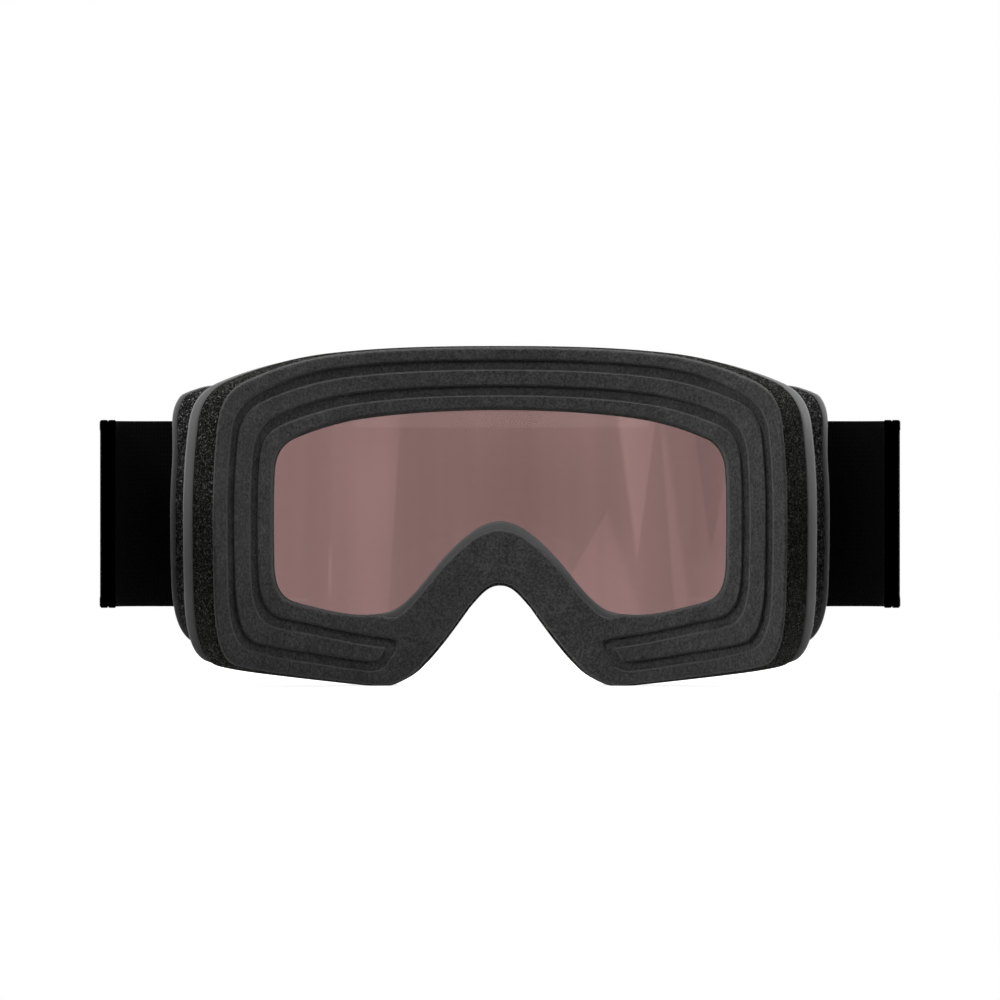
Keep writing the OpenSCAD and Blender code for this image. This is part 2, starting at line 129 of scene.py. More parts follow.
# ---- outlines
# The part's Bezier spans, sampled finely. Each control point is (x, z) on the right half, from the
# nose arch or the bridge round to the top.
def pad_controls():
    h, f, n = HALF_FACE, FACE_H, NOSE_R
    return [
        (0, NOSE_H),
        (0.16 * n, NOSE_H), (0.25 * n, 0.92 * NOSE_H), (0.41 * n, 0.79 * NOSE_H),
        (0.61 * n, 0.59 * NOSE_H), (0.86 * n, 0.35 * NOSE_H), (n, 0.25 * NOSE_H),
        (1.1 * n, 0.158 * NOSE_H), (1.21 * n, 0.083 * NOSE_H), (FOOT_X - FOOT_W / 2, 0.7),
        (FOOT_X - FOOT_W / 5, -0.1), (FOOT_X + FOOT_W / 8, 0.2), (FOOT_X + FOOT_W / 2, 0.58),
        (0.56 * h, 0.0148 * f), (0.68 * h, 0.0283 * f), (0.79 * h, 0.0423 * f),
        (0.835 * h, 0.048 * f), (0.894 * h, 0.057 * f), (0.926 * h, 0.066 * f),
        (0.978 * h, 0.083 * f), (0.991 * h, 0.164 * f), (0.996 * h, 0.254 * f),
        (0.999 * h, 0.34 * f), (h, 0.42 * f), (h, 0.505 * f),
        (h, 0.59 * f), (0.995 * h, 0.68 * f), (0.984 * h, 0.762 * f),
        (0.978 * h, 0.824 * f), (0.952 * h, 0.872 * f), (0.887 * h, 0.897 * f),
        (0.815 * h, 0.929 * f), (0.704 * h, 0.961 * f), (0.595 * h, 0.975 * f),
        (0.417 * h, 0.997 * f), (0.196 * h, f), (0, f),
    ]


def window_controls():
    w, n, b, t = HALF_WINDOW, NOSE_R, WINDOW_BOTTOM, WINDOW_TOP
    return [
        (0, BRIDGE_Z),
        (0.15 * n, BRIDGE_Z), (0.28 * n, BRIDGE_Z - 0.9), (0.405 * n, BRIDGE_Z - 2.7),
        (0.625 * n, BRIDGE_Z - 5.5), (0.83 * n, BRIDGE_Z - 10.1), (n, BRIDGE_Z - 14.1),
        (1.15 * n, BRIDGE_Z - 17.7), (1.315 * n, b + 2.1), (1.5 * n, b + 0.8),
        (0.526 * w, b + 0.2), (0.564 * w, b), (0.602 * w, b),
        (0.685 * w, b), (0.767 * w, b + 1.3), (0.842 * w, b + 2.5),
        (0.868 * w, b + 2.8), (0.894 * w, b + 3.3), (0.916 * w, b + 3.8),
        (0.967 * w, b + 4.9), (0.993 * w, b + 7.9), (0.997 * w, b + 0.232 * WINDOW_H),
        (w, b + 0.314 * WINDOW_H), (w, b + 0.395 * WINDOW_H), (w, b + 0.467 * WINDOW_H),
        (w, b + 0.557 * WINDOW_H), (w, b + 0.629 * WINDOW_H), (0.995 * w, t - 16.1),
        (0.99 * w, t - 12.4), (0.967 * w, t - 10), (0.929 * w, t - 8.45),
        (0.861 * w, t - 6.3), (0.767 * w, t - 4.4), (0.668 * w, t - 3.05),
        (0.495 * w, t - 1), (0.231 * w, t), (0, t),
    ]


# How many of the part's steps each span has
SPAN_STEPS = [3, 4, 3, 1, 4, 2, 4, 2, 2, 4, 4, 6]
EDGE_COUNT = 2 * sum(SPAN_STEPS)


def bezier(p, k, t):
    """Point at share t of the span of controls that starts at p[k]."""
    weights = ((1 - t) ** 3, 3 * t * (1 - t) ** 2, 3 * t * t * (1 - t), t ** 3)
    return tuple(sum(w * p[k + j][i] for j, w in enumerate(weights)) for i in (0, 1))


def whole_curve(controls, fine):
    """The closed outline with fine[span] points for each of the part's steps."""
    half = []
    for span, steps in enumerate(SPAN_STEPS):
        count = steps * fine[span]
        half += [bezier(controls, 3 * span, j / count) for j in range(count)]
    half.append(controls[-1])
    return half + [(-x, z) for x, z in half[-2:0:-1]]


# Points for each of the part's steps
FINE = 6
# How far the front ring's edge rises at the cheeks and sinks at the top, as its curve is flatter
RING_LIFT, RING_DROP = 8.0, 0.8
# Mean distance from the edge to the window, which turns a thickness into a share
BAND = 16.0
PAD = whole_curve(pad_controls(), [FINE] * len(SPAN_STEPS))
WINDOW = whole_curve(window_controls(), [FINE] * len(SPAN_STEPS))
COUNT = len(PAD)
# The frame's lip stands this far over the pad's edge at the bridge, less down to LIP_REACH, and
# the pad's edge goes under it between the distances TUCK_X
LIP_RISE, LIP_REACH, TUCK_X = 2.2, 1.4 * NOSE_R, (34, 27)
# Share of the way to the window where the front ring ends
RING_U = 0.62
# How far the front ring's upper corners go out, and down beside them. Each comes and goes between
# two heights, and the second comes between two distances from the middle.
CORNER_OUT, OUT_COMES, OUT_GOES = 2.5, (60, 78), (81.5, 78.3)
CORNER_DOWN, DOWN_COMES, DOWN_GOES, DOWN_X = 0.8, (80.5, 82.5), (88, 84), (45, 65)


def flared(p, flare, lift=0.0, drop=0.0):
    """An edge point moved outward by flare at the temples, up at the cheeks, down at the top."""
    x, z = p
    out = clamp((abs(x) - NOSE_R) / (HALF_FACE - NOSE_R))
    outer = clamp((abs(x) - FOOT_X - FOOT_W / 2) / (HALF_FACE - FOOT_X))
    low = clamp(1 - 2 * z / FACE_H)
    high = clamp(2 * z / FACE_H - 1)
    return (x + sign(x) * flare * out, z + lift * outer * low - drop * high)


def near_bridge(z):
    return z <= BRIDGE_Z + 1


def lip_rise(x):
    return LIP_RISE * clamp(1 - abs(x) / LIP_REACH)


def framed(w):
    """The frame's own window edge, which forms the lip over the nose."""
    x, z = w
    return (x, z + lip_rise(x)) if near_bridge(z) else w


def frame_point(i, u, flare, lift, drop, squarer=False):
    """Point i of the line at share u. squarer fills the upper outer corners of the ring."""
    x, z = mix2(flared(PAD[i], flare, lift, drop), framed(WINDOW[i]), u)
    if squarer:
        part = clamp(1 - u / RING_U)
        low, high = OUT_COMES
        out = clamp((z - low) / (high - low)) ** 1.5 * rise(z, *OUT_GOES)
        down = rise(z, *DOWN_COMES) * rise(z, *DOWN_GOES)
        x += sign(x) * part * CORNER_OUT * out
        z -= part * CORNER_DOWN * down * rise(abs(x), *DOWN_X)
    return (x, z)


def pad_window(w):
    """The pad's own window edge: over the nose it stays under the frame's lip."""
    x, z = w
    if not near_bridge(z):
        return w
    return (x, z - (LIP_RISE * rise(abs(x), *TUCK_X) - lip_rise(x)))


def face_y(x, d):
    """Where the cylinder at depth d in front of the pad's face lies at x."""
    return FACE_AXIS + math.sqrt((FACE_R + d) ** 2 - x * x)


def lens_y(x, d):
    """Where the cylinder at depth d behind the outer lens lies at x."""
    return LENS_AXIS + math.sqrt((LENS_R - d) ** 2 - x * x)


# ---- mesh helpers
def placed(name, data):
    """A new object in the scene."""
    obj = bpy.data.objects.new(name, data)
    bpy.context.scene.collection.objects.link(obj)
    return obj


def make(name, points, faces, material, body=BODY, uv=None, soft_angle=180):
    """A mesh piece from points in millimetres. uv holds one pair for each point."""
    mesh = bpy.data.meshes.new(name)
    mesh.from_pydata([(x * MM, y * MM, z * MM) for x, y, z in points], [], faces)
    if uv:
        layer = mesh.uv_layers.new(name="run")
        for loop in mesh.loops:
            layer.data[loop.index].uv = uv[loop.vertex_index]
    mesh.materials.append(material)
    mesh.validate()
    whole = bmesh.new()
    whole.from_mesh(mesh)
    bmesh.ops.recalc_face_normals(whole, faces=whole.faces)
    whole.to_mesh(mesh)
    whole.free()
    for poly in mesh.polygons:
        poly.use_smooth = True
    if soft_angle < 180:
        mesh.set_sharp_from_angle(angle=math.radians(soft_angle))
    mesh.update()
    obj = placed(name, mesh)
    if body:
        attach(obj, body)
    return obj


def tube(lines, closed_along=True):
    """Points and faces of a sweep: lines[j][i] is point i along it of the section's point j."""
    n, m = len(lines[0]), len(lines)
    points = [p for line in lines for p in line]
    faces = []
    for j in range(m):
        for i in range(n if closed_along else n - 1):
            k, i2 = (j + 1) % m, (i + 1) % n
            faces.append((j * n + i, j * n + i2, k * n + i2, k * n + i))
    if not closed_along:
        faces.append(tuple(j * n for j in range(m - 1, -1, -1)))
        faces.append(tuple(j * n + n - 1 for j in range(m)))
    return points, faces


# ---- materials
def put(value, socket):
    """Gives an input another node's output, or a number or colour."""
    if isinstance(value, bpy.types.NodeSocket):
        socket.id_data.links.new(value, socket)
    else:
        socket.default_value = value


def adder(tree):
    """A function that adds a node to the tree: settings and input values by name, then links."""
    def add(kind, settings=None, **links):
        node = tree.nodes.new(kind)
        for key, value in (settings or {}).items():
            if key in node.inputs:
                put(value, node.inputs[key])
            else:
                setattr(node, key, value)
        for key, value in links.items():
            put(value, node.inputs[key.replace("_", " ")])
        return node

    return add


def coordinates(add, kind="Object"):
    return add("ShaderNodeTexCoord").outputs[kind]


def split(add, vector):
    return add("ShaderNodeSeparateXYZ", None, Vector=vector).outputs


def shader(name, colour, rough, **values):
    """A Principled material, the function that adds nodes to it, and its shader node."""
    mat = bpy.data.materials.new(name)
    mat.use_nodes = True
    bsdf = mat.node_tree.nodes["Principled BSDF"]
    put((*colour, 1), bsdf.inputs["Base Color"])
    put(rough, bsdf.inputs["Roughness"])
    for key, value in values.items():
        put(value, bsdf.inputs[key.replace("_", " ").title().replace("Ior", "IOR")])
    return mat, adder(mat.node_tree), bsdf


def reckon(add, operation, *values):
    """Result of a math node on numbers or sockets."""
    node = add("ShaderNodeMath", {"operation": operation})
    for socket, value in zip(node.inputs, values):
        put(value, socket)
    return node.outputs[0]


def product(add, result, *factors):
    for factor in factors:
        result = reckon(add, "MULTIPLY", result, factor)
    return result


def ranged(add, value, low, high, to_low=0.0, to_high=1.0, soft=False):
    """The value mapped from low and high to to_low and to_high, and held there outside them."""
    node = add("ShaderNodeMapRange", {"interpolation_type": "SMOOTHSTEP" if soft else "LINEAR"},
               Value=value, From_Min=low, From_Max=high, To_Min=to_low, To_Max=to_high)
    return node.outputs[0]


def mottle(add, place, scale, detail, **others):
    """Noise from 0 to 1 at place."""
    values = {"Scale": scale, "Detail": detail, **{key.title(): others[key] for key in others}}
    return add("ShaderNodeTexNoise", values, Vector=place).outputs["Fac"]


def mixed(add, factor, first, second, blend="MIX"):
    """Result of a colour mix node. The numbers are its colour sockets."""
    node = add("ShaderNodeMix", {"data_type": "RGBA", "blend_type": blend})
    for place, value in ((0, factor), (6, first), (7, second)):
        put(value, node.inputs[place])
    return node.outputs[2]


def layered(add, factor, first, second):
    """Result of a mix of two shader nodes."""
    node = add("ShaderNodeMixShader")
    for socket, value in zip(node.inputs, (factor, first.outputs[0], second.outputs[0])):
        put(value, socket)
    return node.outputs[0]


def tinted(add, bsdf, colour, factor):
    """Base colour times a factor socket."""
    put(mixed(add, 1.0, (*colour, 1), factor, "MULTIPLY"), bsdf.inputs["Base Color"])


def bump(add, bsdf, *heights):
    """Bump nodes in a row, each of (height socket, depth in metres)."""
    normal = {}
    for height, depth in heights:
        node = add("ShaderNodeBump", {"Strength": 1.0, "Distance": depth}, Height=height, **normal)
        normal = {"Normal": node.outputs["Normal"]}
    put(normal["Normal"], bsdf.inputs["Normal"])


def fleece_material():
    """Brushed charcoal fleece: soft patches, scuffs, fine fibres, lint and a faint sheen, with
    painted shade in its channels and over its brow and nose.
    """
    colour = (0.0332, 0.0332, 0.0334)
    mat, add, bsdf = shader("fleece", colour, 0.95, specular_ior_level=0.12,
                            sheen_weight=0.18, sheen_roughness=0.6)
    place = coordinates(add)
    patches = mottle(add, place, 95, 5, roughness=0.62)
    scuffs = mottle(add, place, 330, 3, distortion=1.2)
    fibres = mottle(add, place, 1500, 3, roughness=0.75)
    lint = add("ShaderNodeTexVoronoi", {"Scale": 900}, Vector=place).outputs["Distance"]
    # The run map holds how deep a channel is here, and how near this is to the lower edge. The
    # depth darkens the colour in the channels, which is painted shade, less so near the lower edge.
    pressed = split(add, coordinates(add, "UV"))
    channel = ranged(add, pressed["Y"], 0, 1, 0.8, 0.95)
    # Painted shade and light: the colour is darker over the brow and the nose than at the temples
    across = split(add, place)["X"]
    tone = product(
        add,
        ranged(add, patches, 0.3, 0.7, 0.74, 1.24),
        ranged(add, scuffs, 0.35, 0.7, 0.84, 1.2),
        ranged(add, fibres, 0.36, 0.64, 0.35, 1.66),
        ranged(add, pressed["X"], 0, 1, 1, channel),
        ranged(add, reckon(add, "ABSOLUTE", across), 0.022, 0.068, 0.82, 1.05, soft=True),
    )
    tinted(add, bsdf, colour, tone)
    bump(add, bsdf, (fibres, 0.0004), (lint, 0.00014), (scuffs, 0.0003))
    return mat


def foam_material(name, dark, light, cell):
    """Open-cell foam: dark pores, and small cell walls in the light colour, a painted highlight of
    glints. cell is how many cells fit in a metre.
    """
    mat, add, bsdf = shader(name, dark, 0.9, specular_ior_level=0.25)
    place = coordinates(add)
    warp = mottle(add, place, cell * 0.7, 2)
    cells = add("ShaderNodeTexVoronoi", {"Scale": cell, "Randomness": 1}, Vector=place)
    walls = add("ShaderNodeTexVoronoi", {"Scale": cell, "feature": "DISTANCE_TO_EDGE"},
                Vector=place).outputs["Distance"]
    # Painted highlight: the light colour goes on the cell walls, in patches, as glints
    painted_glint = product(add, ranged(add, walls, 0, 0.26, 1, 0), ranged(add, warp, 0.42, 0.62))
    put(mixed(add, painted_glint, (*dark, 1), (*light, 1)), bsdf.inputs["Base Color"])
    bump(add, bsdf, (walls, -0.0009), (cells.outputs["Distance"], 0.0004))
    return mat


def plastic_material(name, colour, rough, **values):
    """Moulded plastic or rubber with a fine spark-eroded grain and a slight change of tone."""
    mat, add, bsdf = shader(name, colour, rough, **values)
    place = coordinates(add)
    fine, wide = mottle(add, place, 1500, 3), mottle(add, place, 60, 3)
    put(ranged(add, fine, 0.3, 0.7, rough - 0.05, rough + 0.06), bsdf.inputs["Roughness"])
    tinted(add, bsdf, colour, ranged(add, wide, 0.3, 0.7, 0.94, 1.06))
    bump(add, bsdf, (fine, 0.00002))
    return mat


def metal_material(name, colour, rough):
    """Drawn or ground metal with fine lines round it."""
    mat, add, bsdf = shader(name, colour, rough, metallic=1)
    place = coordinates(add)
    flat = add("ShaderNodeMapping", {"Scale": (300, 300, 9000)}, Vector=place)
    lines = mottle(add, flat.outputs[0], 1, 2)
    put(ranged(add, lines, 0.3, 0.7, rough - 0.08, rough + 0.1), bsdf.inputs["Roughness"])
    bump(add, bsdf, (lines, 0.000006))
    return mat


# Painted reflections in the tint of the outer lens, long soft lighter and darker bands, each
# between
# two slanting edges, in mm: x of the left edge at z = 0, its lean and its softness, the same for
# the right edge, the lowest and highest z and how softly it ends there, and how much it adds to the
# tint or takes from it
PAINTED_REFLECTIONS = [
    (-44, 0, 16, -31.8, 0.063, 0.5, -20, 110, 9, 0.1),
    (-42, 0, 16, -31.8, 0.063, 0.5, 42, 66, 24, 0.06),
    (-12, 0, 30, 32, -0.05, 24, 34, 64, 26, -0.11),
    (42.1, -0.136, 1.6, 33, 0.133, 0.5, -20, 110, 9, 0.18),
    (27.5, 0, 5, 42.1, -0.136, 1.6, 40, 110, 12, -0.06),
    (49.3, -0.078, 1, 54.7, -0.136, 2, 8, 70, 14, 0.15),
    (62.1, -0.13, 0.8, 50.8, 0.185, 0.8, 38, 110, 6, -0.13),
    (2.4, 0.573, 0.6, 43.8, -0.3, 3.5, -20, 52, 9, 0.13),
    (52, 0, 5, 90, 0, 5, -20, 34, 10, 0.09),
    (-47.2, 0.01, 0.5, -46.3, 0.01, 0.5, 25, 36, 9, 0.14),
    (-90, 0, 5, -47, 0.01, 3, -20, 110, 9, -0.03),
]


def painted_reflection(add, x, z, shape):
    """1 plus the gain of one painted reflection between its edges, and 1 outside them."""
    left, lean_left, soft_left, right, lean_right, soft_right, low, high, soft_end, gain = shape

    def past(value, at, soft):
        return ranged(add, value, (at - soft / 2) * MM, (at + soft / 2) * MM, soft=True)

    def upright(lean):
        return reckon(add, "MULTIPLY_ADD", z, -lean, x)

    inside = product(
        add,
        past(upright(lean_left), left, soft_left),
        reckon(add, "SUBTRACT", 1.0, past(upright(lean_right), right, soft_right)),
        past(z, low, soft_end),
        reckon(add, "SUBTRACT", 1.0, past(z, high, soft_end)),
    )
    return reckon(add, "MULTIPLY_ADD", inside, gain, 1.0)


def lens_material(name, tint, reflection_streaks, gloss, painted_reflections=()):
    """A thin lens: it lets the light behind it through in its tint and mirrors a little. The third
    argument is how far soft upright bands of painted reflection change the tint, and the last one
    adds painted reflections between slanting edges."""
    mat = bpy.data.materials.new(name)
    mat.use_nodes = True
    nodes = mat.node_tree.nodes
    nodes.remove(nodes["Principled BSDF"])
    add = adder(mat.node_tree)
    place = coordinates(add)
    bands = add("ShaderNodeMapping", {"Scale": (48.0, 48.0, 3.2), "Rotation": (0.0, 0.06, 0.0)},
                Vector=place)
    wave = mottle(add, bands.outputs[0], 1.0, 3.5, roughness=0.55)
    tone = ranged(add, wave, 0.32, 0.68, 1 - reflection_streaks, 1 + reflection_streaks)
    spot = split(add, place)
    for shape in painted_reflections:
        tone = product(add, tone, painted_reflection(add, spot["X"], spot["Z"], shape))
    shade = add("ShaderNodeVectorMath", {"operation": "SCALE"}, Vector=tint, Scale=tone)
    clear = add("ShaderNodeBsdfTransparent", None, Color=shade.outputs[0])
    shine = add("ShaderNodeBsdfGlossy", {"Roughness": 0.03, "Color": (*gloss, 1)})
    # The plate mirrors by the slope outside it, alike on its way in and out
    facing = add("ShaderNodeLayerWeight", {"Blend": 0.5}).outputs["Facing"]
    mirrored = reckon(add, "MULTIPLY_ADD", reckon(add, "POWER", facing, 5.0), 0.96, 0.04)
    put(layered(add, mirrored, clear, shine), nodes["Material Output"].inputs["Surface"])
    return mat


def webbing_material():
    """Black elastic webbing: fine ribs across it and chains of knit stitches along it."""
    colour = (0.0019, 0.0019, 0.002)
    mat, add, bsdf = shader("webbing", colour, 0.9, specular_ior_level=0.06)
    # The run map is in mm: along the strap, then across it
    run = split(add, coordinates(add, "UV"))

    def wave(value, pitch):
        return reckon(add, "SINE", reckon(add, "MULTIPLY", value, math.tau / pitch))

    ribs, chains = wave(run["X"], 0.9), wave(run["Y"], 1.25)
    fuzz = mottle(add, coordinates(add), 3500.0, 2.0)
    tinted(add, bsdf, colour, ranged(add, fuzz, 0.25, 0.75, 0.75, 1.3))
    bump(add, bsdf, (ribs, 0.00008), (product(add, ribs, chains), 0.00006), (fuzz, 0.00006))
    return mat


FLEECE = fleece_material()
PORES = (0.0042, 0.0042, 0.0031)
SOFT_FOAM = foam_material("soft_foam", PORES, (0.5, 0.497, 0.43), 3000)
FIRM_FOAM = foam_material("firm_foam", PORES, (0.48, 0.476, 0.41), 3000)
VENT_FOAM = foam_material("vent_foam", (0.018, 0.018, 0.018), (0.56, 0.56, 0.56), 2700)
SPACER = foam_material("spacer_foam", (0.006, 0.006, 0.006), (0.03, 0.03, 0.03), 1400)
FRAME = plastic_material("frame_plastic", (0.285, 0.285, 0.287), 0.68, specular_ior_level=0.3)
RIM = plastic_material("rim_plastic", (0.205, 0.205, 0.207), 0.5)
# A darker copy of the frame plastic for the lip over the nose: painted shade
LIP_SHADED = plastic_material("lip_plastic_shaded", (0.074, 0.074, 0.075), 0.6)
CARRIER = plastic_material("carrier_plastic", (0.05, 0.051, 0.053), 0.45)
SLIDER = plastic_material("slider_plastic", (0.012, 0.012, 0.013), 0.55, specular_ior_level=0.3)
GASKET = plastic_material("gasket_rubber", (0.016, 0.016, 0.017), 0.7)
GRIP = plastic_material("grip_rubber", (0.03, 0.03, 0.034), 0.3)
STEEL = metal_material("steel_bar", (0.5, 0.51, 0.53), 0.3)
MAGNET = metal_material("magnet", (0.62, 0.63, 0.65), 0.2)
# The lens's tint, and how strongly painted reflections streak it in soft upright bands
TINT, REFLECTION_STREAKS = (0.557, 0.436, 0.427), 0.06
OUTER_LENS = lens_material("outer_lens", TINT, REFLECTION_STREAKS, (0.65, 0.6, 0.58))
OUTER_LENS_IN = lens_material("outer_lens_inside", TINT, REFLECTION_STREAKS, (0.16, 0.15, 0.145), PAINTED_REFLECTIONS)
INNER_LENS = lens_material("inner_lens", (0.96, 0.95, 0.95), 0.0, (0.2, 0.2, 0.2))
WEBBING = webbing_material()
THREAD = shader("thread", (0.02, 0.02, 0.021), 0.6)[0]


# ---- face pad
# Where each channel's outer and inner edges lie, as shares from the pad's outer edge to the window
CHANNELS_TOP = (0.195, 0.375, 0.605, 0.785)
CHANNELS_SIDE = (0.235, 0.37, 0.622, 0.76)
# Mean distance from the pad's edge to the window over the brow and at the side
BAND_TOP, BAND_SIDE = 16.7, 24.0
# The channels join in a bend beside the nose: its middle line as (x, z), and half its width
CHANNEL_BEND = [
    (59.4, 17.8), (54.0, 16.3), (46.4, 14.5), (38.9, 12.95), (33.2, 12.0), (30.1, 11.6),
    (29.2, 11.1), (29.5, 10.1), (30.8, 7.9), (31.9, 6.2), (33.0, 5.6), (35.1, 5.35),
    (43.2, 6.5), (54.0, 8.4), (59.4, 9.4),
]
CHANNEL_HALF = 1.55
# The bend counts under this height and inside these distances from the middle, elsewhere the
# shares do. Those change from the brow's to the side's between the distances SIDE_FROM.
BEND_TOP, BEND_WITHIN, SIDE_FROM = 55, (58, 48), (52, 68)
# A channel's wall runs from this far inside its edge to this far outside it
WALL_INSIDE, WALL_OUTSIDE = 0.34, 0.16
# Shares of the way to the window over which the fleece rolls over at its edges, the powers of
# these curves, its height at the edge and how much the roll adds
OUTER_ROLL, INNER_ROLL, OUTER_POWER, INNER_POWER = 0.065, 0.06, 2.3, 2.4
EDGE_HEIGHT, ROLL_HEIGHT = 0.42, 0.56
# How uneven the fleece is, and its waves for each millimetre
UNEVEN, UNEVEN_SCALE = 0.06, 0.35
# Heights between which its lower part begins, where the painted shade in the channels is weaker
LOWER_Z = (24, 16)
# Points for each of the part's steps, span by span, and rows from the edge to the window
PAD_SPREAD = [5, 5, 14, 26, 16, 14, 6, 6, 6, 5, 5, 5]
PAD_ROWS = 96


def near_line(x, z, line):
    """Distance from a point to a chain of straight runs."""
    best = 1e9
    for (ax, az), (bx, bz) in zip(line, line[1:]):
        dx, dz = bx - ax, bz - az
        t = clamp(((x - ax) * dx + (z - az) * dz) / (dx * dx + dz * dz))
        best = min(best, math.hypot(x - ax - t * dx, z - az - t * dz))
    return best


def sunk(off):
    """Share of a channel's depth at a distance outside its edge."""
    return rise(off, WALL_OUTSIDE, -WALL_INSIDE)


def channel_depth(u, x, z):
    """Share of the channels' depth at share u from the outer edge, at (x, z) on the pad."""
    side = rise(abs(x), *SIDE_FROM)
    edges = [mix(a, b, side) for a, b in zip(CHANNELS_TOP, CHANNELS_SIDE)]
    band = mix(BAND_TOP, BAND_SIDE, side)
    by_share = 0.0
    for outer, inner in (edges[:2], edges[2:]):
        off = abs(u - (outer + inner) / 2) - (inner - outer) / 2
        by_share = max(by_share, sunk(off * band))
    by_line = rise(abs(x), *BEND_WITHIN) if z < BEND_TOP else 0.0
    if by_line == 0:
        return by_share
    return mix(by_share, sunk(near_line(abs(x), z, CHANNEL_BEND) - CHANNEL_HALF), by_line)


def rolled(off, power):
    """Height of a rounded edge at share off of the way out to its end."""
    return (1 - clamp(off) ** power) ** (1 / power)


def crown(u):
    """Height of the fleece over the foam as a share of its thickness, rounded at both edges."""
    edge = 1.0
    if u < OUTER_ROLL:
        edge = rolled(1 - u / OUTER_ROLL, OUTER_POWER)
    elif u > 1 - INNER_ROLL:
        edge = rolled((u - 1 + INNER_ROLL) / INNER_ROLL, INNER_POWER)
    return EDGE_HEIGHT + ROLL_HEIGHT * edge


def fleece_pad():
    """The fleece with its channels. Its run map holds what fleece_material needs."""
    pad = whole_curve(pad_controls(), PAD_SPREAD)
    window = [pad_window(w) for w in whole_curve(window_controls(), PAD_SPREAD)]
    rows = [0, 0.25, 0.6, *range(1, PAD_ROWS), PAD_ROWS - 0.6, PAD_ROWS - 0.25, PAD_ROWS]
    # Each point of the section is a share of the way to the window and a share of the thickness,
    # with None on the crowned face
    section = [(0.0, 0.03), (0.0, 0.22)] + [(row / PAD_ROWS, None) for row in rows]
    section += [(1.0, 0.22), (1.0, 0.03), (0.75, 0.02), (0.5, 0.02), (0.25, 0.02)]
    lines, run_map = [], []
    for u, share in section:
        line = []
        for p, w in zip(pad, window):
            x, z = mix2(p, w, u)
            pressed = channel_depth(u, x, z) if share is None else 0.0
            run_map.append((pressed, rise(z, *LOWER_Z)))
            if share is None:
                height = crown(u) * FLEECE_T - CHANNEL_DEPTH * pressed
                uneven = noise.noise(Vector((x * UNEVEN_SCALE, z * UNEVEN_SCALE, u)))
                height += UNEVEN * uneven * min(1.0, 6 * u, 6 * (1 - u))
            else:
                height = share * FLEECE_T
            line.append((x, face_y(x, COMFORT_D - height), z))
        lines.append(line)
    obj = make("fleece_pad", *tube(lines), FLEECE, uv=run_map)
    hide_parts("face_fleece")


# How far a foam's sides stand out, at shares of its thickness from the face side
OUTER_SWELL = ((0.0, -0.02), (0.06, 0.006), (0.25, 0.02), (0.5, 0.026), (0.75, 0.02),
               (0.94, 0.006), (1.0, -0.02))
INNER_SWELL = ((1.0, -0.05), (0.94, -0.02), (0.75, -0.006), (0.5, 0.0), (0.25, -0.006),
               (0.06, -0.02), (0.0, -0.05))
# How far the foams stand out past the pad at the temples, where they meet and at the flange
FOAM_FLARE, FOAM_FLARE_BACK = 3.4, 5.7
# In the nose arch, under ARCH_TOP and inside the distances ARCH_X, they stand out by a share more
ARCH_TOP, ARCH_X, ARCH_SWELL = 40, (26, 18), 0.03


def foam_layer(name, node, material, d0, flare0, d1, flare1):
    """A foam layer between two depths. Its sides swell a little and its corners are soft."""
    section = [(t, -swell) for t, swell in OUTER_SWELL] + [(1.0, 0.5)]
    section += [(t, 1 + swell) for t, swell in INNER_SWELL] + [(0.0, 0.5)]
    lines = []
    for t, u in section:
        d, flare = mix(d0, d1, t), mix(flare0, flare1, t)
        line = []
        for p, w in zip(PAD, WINDOW):
            arch = rise(abs(p[0]), *ARCH_X) if p[1] < ARCH_TOP and u < 0 else 0.0
            x, z = mix2(flared(p, flare), pad_window(w), u - ARCH_SWELL * arch)
            line.append((x, face_y(x, d), max(z, 0.02)))
        lines.append(line)
    obj = make(name, *tube(lines), material, soft_angle=60)
    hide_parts(node)


fleece_pad()
foam_layer("comfort_layer", "comfort_foam", SOFT_FOAM,
           COMFORT_D - 0.02, 0.0, BASE_D - 0.03, FOAM_FLARE)
foam_layer("firm_layer", "base_foam", FIRM_FOAM,
           BASE_D, FOAM_FLARE, FLANGE_D - 0.03, FOAM_FLARE_BACK)


# ---- vent foam and struts
# The struts stand behind the foam, which fills the vent round the outside
STRUT_U = 0.02 + (VENT_FOAM_T + 1.5 * SEAT) / BAND
# Foam and struts stand this far inside the edges of the flange and the front ring, and this much
# lower at the top of the flange
VENT_INSET, VENT_DROP = 1.2, 0.6
# Steps of the edge where the vent foams end or meet: by the nose, under and over the temple
NOSE_STEP, CHEEK_STEP, CORNER_STEP = 2, 17, 29


def wall(u, thick, start, end, gap, corner, squarer=False):
    """Points and faces of a wall between the flange and the ring, from one step to another."""
    soft = corner / thick
    section = [(0.0, 0.08), (0.0, 0.5), (0.0, 0.92), (soft, 1.0), (1 - soft, 1.0), (1.0, 0.92),
               (1.0, 0.5), (1.0, 0.08), (1 - soft, 0.0), (soft, 0.0)]
    lines = []
    for across, deep in section:
        line = []
        for k in range(start * FINE, end * FINE + 1):
            i, share = k % COUNT, u + thick / BAND * across
            fx, fz = frame_point(i, share, RING_FLARE - VENT_INSET, RING_LIFT, RING_DROP, squarer)
            bx, bz = frame_point(i, share, FLANGE_FLARE - VENT_INSET, 0.0, VENT_DROP)
            front = (fx, lens_y(fx, RING_BACK_D + gap), fz)
            back = (bx, face_y(bx, FLANGE_D + FLANGE_T + gap), bz)
            line.append(tuple(mix(a, b, deep) for a, b in zip(front, back)))
        lines.append(line)
    return tube(lines, closed_along=False)


